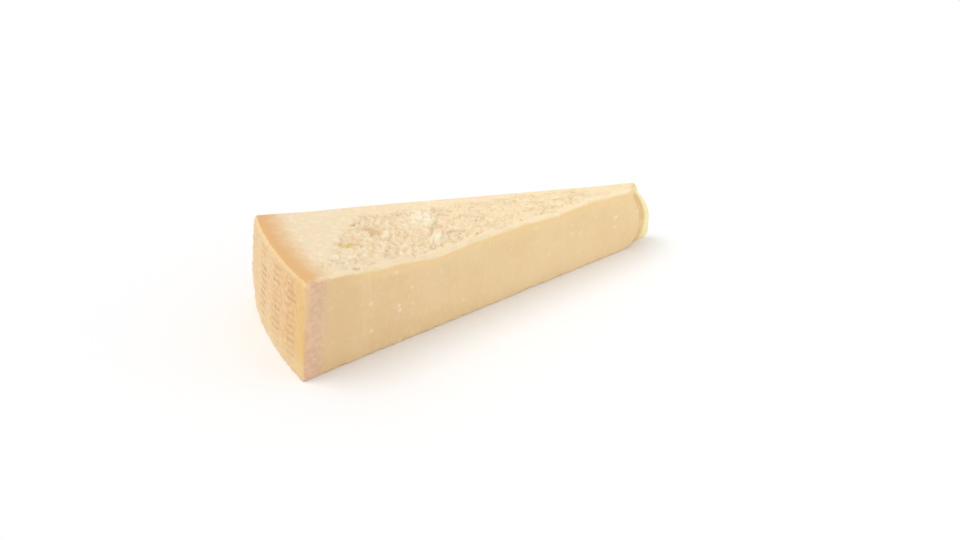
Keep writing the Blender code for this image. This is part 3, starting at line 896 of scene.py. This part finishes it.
def rind_tint(tree, colours, where, mottle, powder):
    """Outside of the rind: mottled, stained round its pin-pricks, with golden and pale edges, the
    upper one a painted highlight.
    """
    side = field(tree, "side")
    base = blend(tree, ramp(tree, side, -1.0, 0.4), opaque(colours.rind_near),
                 opaque(colours.rind_face))
    pale = blend(tree, 0.42, base, opaque(colours.torn_core))
    tint = blend(tree, ramp(tree, mottle, 0.42, 0.66), base, pale)
    tint = blend(tree, times(tree, ramp(tree, powder, 0.54, 0.66), 0.35), tint,
                 opaque(colours.rind_side))
    blotches = noise(tree, where, 190.0, 2.0)
    tint = blend(tree, times(tree, ramp(tree, blotches, 0.52, 0.66), 0.40), tint,
                 opaque(colours.rind_gold))
    tint = blend(tree, times(tree, field(tree, "stain"), 0.48), tint, opaque(colours.rind_mark))
    wander = math_node(tree, "MULTIPLY_ADD", mottle, 6.0, -3.0)
    beside = math_node(tree, "ADD", field(tree, "near_edge"), wander)
    tint = blend(tree, times(tree, falling(tree, beside, 5.0, 13.0), 0.9), tint,
                 opaque(colours.rind_gold))
    bevel = math_node(tree, "MULTIPLY_ADD", field(tree, "below_top"), 0.12,
                      field(tree, "near_edge"))
    tint = blend(tree, times(tree, falling(tree, bevel, 2.4, 4.8), 0.7), tint,
                 opaque(colours.rind_face))
    height = times(tree, add(tree, "ShaderNodeSeparateXYZ", ((0, where),)).outputs[2], 1000.0)
    foot = falling(tree, math_node(tree, "ADD", height, wander), 3.0, 15.0)
    tint = blend(tree, times(tree, foot, 0.55), tint, opaque(colours.rind_foot))
    # Painted highlight along the rind's upper edge
    below = math_node(tree, "ADD", field(tree, "below_top"), wander)
    tint = blend(tree, times(tree, falling(tree, below, 0.6, 3.6), 0.7), tint,
                 opaque(colours.rind_edge_highlight))
    return blend(tree, times(tree, field(tree, "dots"), 0.55), tint, opaque(colours.rind_mark))


def waxy(shader, scatter):
    """Gives a shader the soft, slightly translucent look of cheese, by how far light wanders."""
    shader.inputs["Specular IOR Level"].default_value = 0.35
    shader.inputs["Subsurface Weight"].default_value = 0.25
    shader.inputs["Subsurface Radius"].default_value = (1.0, 0.6, 0.3)
    shader.inputs["Subsurface Scale"].default_value = scatter


def cheese_material(colours):
    """Paste and rind in one finish: tints chosen by the mesh's fields, and broken up by noise."""
    material = bpy.data.materials.new("parmesan_paste_and_rind")
    material.use_nodes = True
    tree = material.node_tree
    shader = tree.nodes["Principled BSDF"]
    where = add(tree, "ShaderNodeTexCoord").outputs["Object"]
    mottle = noise(tree, where, 420.0, 4.0)
    powder = noise(tree, where, 1100.0, 3.0)

    depth = field(tree, "rind_depth")
    core = ramp(tree, depth, 3.0, 66.0)
    cut = cut_tint(tree, colours, where, core, mottle)
    torn = torn_tint(tree, colours, where, core, mottle)

    slow = math_node(tree, "MULTIPLY_ADD", noise(tree, where, 130.0, 2.0), 2.4, -1.2)
    wander = math_node(tree, "MULTIPLY_ADD", mottle, 0.8, -0.4)
    wander = math_node(tree, "ADD", depth, math_node(tree, "ADD", wander, slow))
    top_band = falling(tree, wander, 1.0, 7.2)
    side_band = falling(tree, wander, 3.0, 6.0)
    torn = blend(tree, top_band, torn, opaque(colours.rind_top))
    side_tint = blend(tree, times(tree, ramp(tree, mottle, 0.38, 0.64), 0.8),
                      opaque(colours.rind_side), opaque(colours.rind_crumb))
    beside = times(tree, falling(tree, wander, 7.0, 15.0), 0.7)
    cut = blend(tree, beside, cut, opaque(colours.rind_shade))
    cut = blend(tree, times(tree, side_band, 0.9), cut, side_tint)
    # Painted highlight on the upper corner where a cut side meets the rind
    corner_highlight = times(tree, falling(tree, depth, 0.5, 1.6),
                    falling(tree, field(tree, "below_top"), 8.0, 30.0))
    cut = blend(tree, times(tree, corner_highlight, 0.6), cut, opaque(colours.rind_edge_highlight))
    whole = blend(tree, field(tree, "top"), cut, torn)
    # Painted highlight: a light line along the near top edge
    from_edge = math_node(tree, "MULTIPLY_ADD", field(tree, "below_top"), 2.4,
                          field(tree, "near_edge"))
    from_edge = math_node(tree, "MULTIPLY_ADD", mottle, 4.0, from_edge)
    edge_highlight = falling(tree, from_edge, 2.0, 5.0)
    whole = blend(tree, times(tree, edge_highlight, 0.6), whole, opaque(colours.edge_highlight))
    whole = blend(tree, field(tree, "heel"), whole, rind_tint(tree, colours, where, mottle, powder))

    grain = math_node(tree, "MULTIPLY_ADD", powder, 0.5, times(tree, mottle, 0.5))
    bump = add(tree, "ShaderNodeBump", (("Strength", 0.35), ("Distance", 0.0004),
                                        ("Height", grain)))
    tree.links.new(whole, shader.inputs["Base Color"])
    tree.links.new(bump.outputs[0], shader.inputs["Normal"])
    rough = math_node(tree, "MULTIPLY_ADD", mottle, 0.2, 0.45)
    tree.links.new(rough, shader.inputs["Roughness"])
    waxy(shader, 0.0025)
    return material


def crumb_lumps(centres, radii, seed):
    """Corners and faces of one closed lump at each centre: an icosahedron with shaken corners.

    Its twelve corners are two poles and two rings of five, half a step apart, at the heights
    plus and minus one over the root of five. Each corner's distance is the radius times a
    random share between the two of CRUMB_SHAKE.
    """
    height = 1.0 / math.sqrt(5.0)
    turn = np.arange(5) * 2.0 * np.pi / 5.0
    upper = 2.0 * height * np.column_stack((np.cos(turn), np.sin(turn), np.full(5, 0.5)))
    turn = turn + np.pi / 5.0
    lower = 2.0 * height * np.column_stack((np.cos(turn), np.sin(turn), np.full(5, -0.5)))
    shape = np.vstack(((0.0, 0.0, 1.0), upper, lower, (0.0, 0.0, -1.0)))
    ring = np.arange(5)
    after = (ring + 1) % 5
    pattern = np.vstack((
        np.column_stack((np.zeros(5, int), 1 + ring, 1 + after)),
        np.column_stack((1 + ring, 6 + ring, 1 + after)),
        np.column_stack((1 + after, 6 + ring, 6 + after)),
        np.column_stack((6 + ring, np.full(5, 11), 6 + after))))
    share = np.random.default_rng(seed).uniform(*CRUMB_SHAKE, (len(centres), 12, 1))
    corners = shape * share * radii[:, None, None] * (1.0, 1.0, CRUMB_SQUASH)
    corners = corners + centres[:, None, :]
    first = 12 * np.arange(len(centres))[:, None, None]
    return corners.reshape(-1, 3), (pattern + first).reshape(-1, 3).tolist()


def crumb_material(colours):
    """Crumbs: the torn paste, from one crumb to the next paler or more golden."""
    material = bpy.data.materials.new("parmesan_crumbs")
    material.use_nodes = True
    tree = material.node_tree
    shader = tree.nodes["Principled BSDF"]
    where = add(tree, "ShaderNodeTexCoord").outputs["Object"]
    mottle = ramp(tree, noise(tree, where, 260.0, 2.0), 0.35, 0.65)
    tint = blend(tree, mottle, opaque(colours.torn_paste), opaque(colours.crest))
    tree.links.new(tint, shader.inputs["Base Color"])
    shader.inputs["Roughness"].default_value = 0.6
    waxy(shader, 0.0015)
    return material


def plain_material(name, tint, roughness):
    """One even colour, for the stage."""
    material = bpy.data.materials.new(name)
    material.use_nodes = True
    shader = material.node_tree.nodes["Principled BSDF"]
    shader.inputs["Base Color"].default_value = opaque(tint)
    shader.inputs["Roughness"].default_value = roughness
    return material


class PARMESAN_OT_chunk(bpy.types.Operator):
    """Add the chunk: the fine surface of the wedge, in place of the plain solid"""

    bl_idname = "parmesan.add_chunk"
    bl_label = "Add the chunk"

    def execute(self, context):
        size = context.scene.chunk_sizes
        faces = shell_faces()
        used, number = np.unique(np.concatenate([np.asarray(f) for f in faces]),
                                 return_inverse=True)
        ends = np.cumsum([len(face) for face in faces])[:-1]
        faces = [part.tolist() for part in np.split(number, ends)]
        k = used % (STEPS[2] + 1)
        j = used // (STEPS[2] + 1) % (STEPS[1] + 1)
        i = used // ((STEPS[2] + 1) * (STEPS[1] + 1))
        points, fields = wedge_surface(size, np.column_stack((i, j, k)))
        low, high = (np.array(corner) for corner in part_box(NODE))
        middle = 0.5 * (points.min(axis=0) + points.max(axis=0))
        points[:, :2] += (0.5 * (low + high) - middle)[:2]
        material = cheese_material(context.scene.chunk_colours)
        piece = new_piece("cheese_wedge", points, faces, material, fields)
        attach(piece, BODY)
        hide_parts(NODE)
        return {"FINISHED"}


class PARMESAN_OT_crumbs(bpy.types.Operator):
    """Add the crumbs: small faceted lumps that cling to the torn top"""

    bl_idname = "parmesan.add_crumbs"
    bl_label = "Add the crumbs"

    def execute(self, context):
        chunk = bpy.data.objects["cheese_wedge"].data
        points = np.empty(3 * len(chunk.vertices), np.float32)
        chunk.vertices.foreach_get("co", points)
        torn = np.empty(len(chunk.vertices), np.float32)
        chunk.attributes["torn"].data.foreach_get("value", torn)
        draw = np.random.default_rng(SEED + 10)
        places = draw.choice(np.flatnonzero(torn > CRUMB_FROM_TORN), CRUMBS, replace=False)
        low, high = CRUMB_RADII
        radii = low + (high - low) * draw.uniform(0.0, 1.0, CRUMBS) ** 2
        centres = points.reshape(-1, 3)[places].astype(float)
        centres[:, 2] -= CRUMB_SUNK * radii
        corners, faces = crumb_lumps(centres, radii, SEED + 11)
        piece = new_piece("crumbs", corners, faces, crumb_material(context.scene.chunk_colours))
        piece.data.shade_flat()
        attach(piece, BODY)
        return {"FINISHED"}


class PARMESAN_OT_stage(bpy.types.Operator):
    """Add the pale floor, the soft studio light and the camera"""

    bl_idname = "parmesan.add_stage"
    bl_label = "Add the stage"

    def execute(self, context):
        studio = context.scene.studio_settings
        scene = context.scene
        scene.view_settings.view_transform = "Standard"

        half = FLOOR_HALF
        points = np.array([(-half, -half, 0), (half, -half, 0), (half, half, 0), (-half, half, 0)])
        floor = new_piece("floor", points, [[0, 1, 2, 3]],
                          plain_material("pale_floor", studio.floor, 0.7))

        world = bpy.data.worlds.new("studio_sky")
        world.use_nodes = True
        sky = world.node_tree.nodes["Background"]
        sky.inputs["Color"].default_value = (1.0, 1.0, 1.0, 1.0)
        sky.inputs["Strength"].default_value = studio.sky
        scene.world = world

        key = bpy.data.lights.new("key", "SUN")
        key.energy = studio.key
        key.angle = KEY_SPREAD
        lamp = bpy.data.objects.new("key", key)
        lamp.rotation_mode = "QUATERNION"
        lamp.rotation_quaternion = Vector(KEY_DIRECTION).to_track_quat("-Z", "Y")
        scene.collection.objects.link(lamp)

        panel = bpy.data.lights.new("side_panel", "AREA")
        panel.energy = studio.side
        panel.shape = "RECTANGLE"
        panel.size, panel.size_y = PANEL_SIZE
        place = Vector(PANEL_PLACE)
        lamp = bpy.data.objects.new("side_panel", panel)
        lamp.location = place
        lamp.rotation_mode = "QUATERNION"
        lamp.rotation_quaternion = (Vector(PANEL_AIM) - place).to_track_quat("-Z", "Y")
        scene.collection.objects.link(lamp)

        lens = bpy.data.cameras.new("camera")
        lens.lens = studio.lens
        lens.sensor_width = SENSOR_WIDTH
        camera = bpy.data.objects.new("camera", lens)
        level = math.cos(studio.elevation)
        back = Vector((math.sin(studio.azimuth) * level, -math.cos(studio.azimuth) * level,
                       math.sin(studio.elevation)))
        camera.location = Vector(studio.target) + studio.distance * back
        camera.rotation_mode = "QUATERNION"
        camera.rotation_quaternion = (-back).to_track_quat("-Z", "Y")
        scene.collection.objects.link(camera)
        scene.camera = camera
        return {"FINISHED"}


class PARMESAN_PT_sidebar(bpy.types.Panel):
    """Lists the chunk's operators and settings"""

    bl_idname = "PARMESAN_PT_sidebar"
    bl_label = "Parmesan chunk"
    bl_space_type = "VIEW_3D"
    bl_region_type = "UI"
    bl_category = "Cheese"

    def draw(self, context):
        for operator in OPERATORS:
            self.layout.operator(operator.bl_idname)
        for group in (context.scene.chunk_sizes, context.scene.chunk_colours,
                      context.scene.studio_settings):
            box = self.layout.box()
            for name in group.__annotations__:
                box.prop(group, name)


GROUPS = {
    "chunk_sizes": ChunkSizes,
    "chunk_colours": ChunkColours,
    "studio_settings": StudioSettings,
}
OPERATORS = (PARMESAN_OT_chunk, PARMESAN_OT_crumbs, PARMESAN_OT_stage)


def register():
    """Register the groups, the operators and the panel."""
    for name, group in GROUPS.items():
        bpy.utils.register_class(group)
        setattr(bpy.types.Scene, name, bpy.props.PointerProperty(type=group))
    for item in (*OPERATORS, PARMESAN_PT_sidebar):
        bpy.utils.register_class(item)


def unregister():
    """Take back what register() added."""
    for item in (PARMESAN_PT_sidebar, *reversed(OPERATORS)):
        bpy.utils.unregister_class(item)
    for name, group in GROUPS.items():
        delattr(bpy.types.Scene, name)
        bpy.utils.unregister_class(group)


def main():
    """Make every piece."""
    register()
    bpy.ops.parmesan.add_chunk()
    bpy.ops.parmesan.add_crumbs()
    bpy.ops.parmesan.add_stage()


if __name__ == "__main__":
    main()
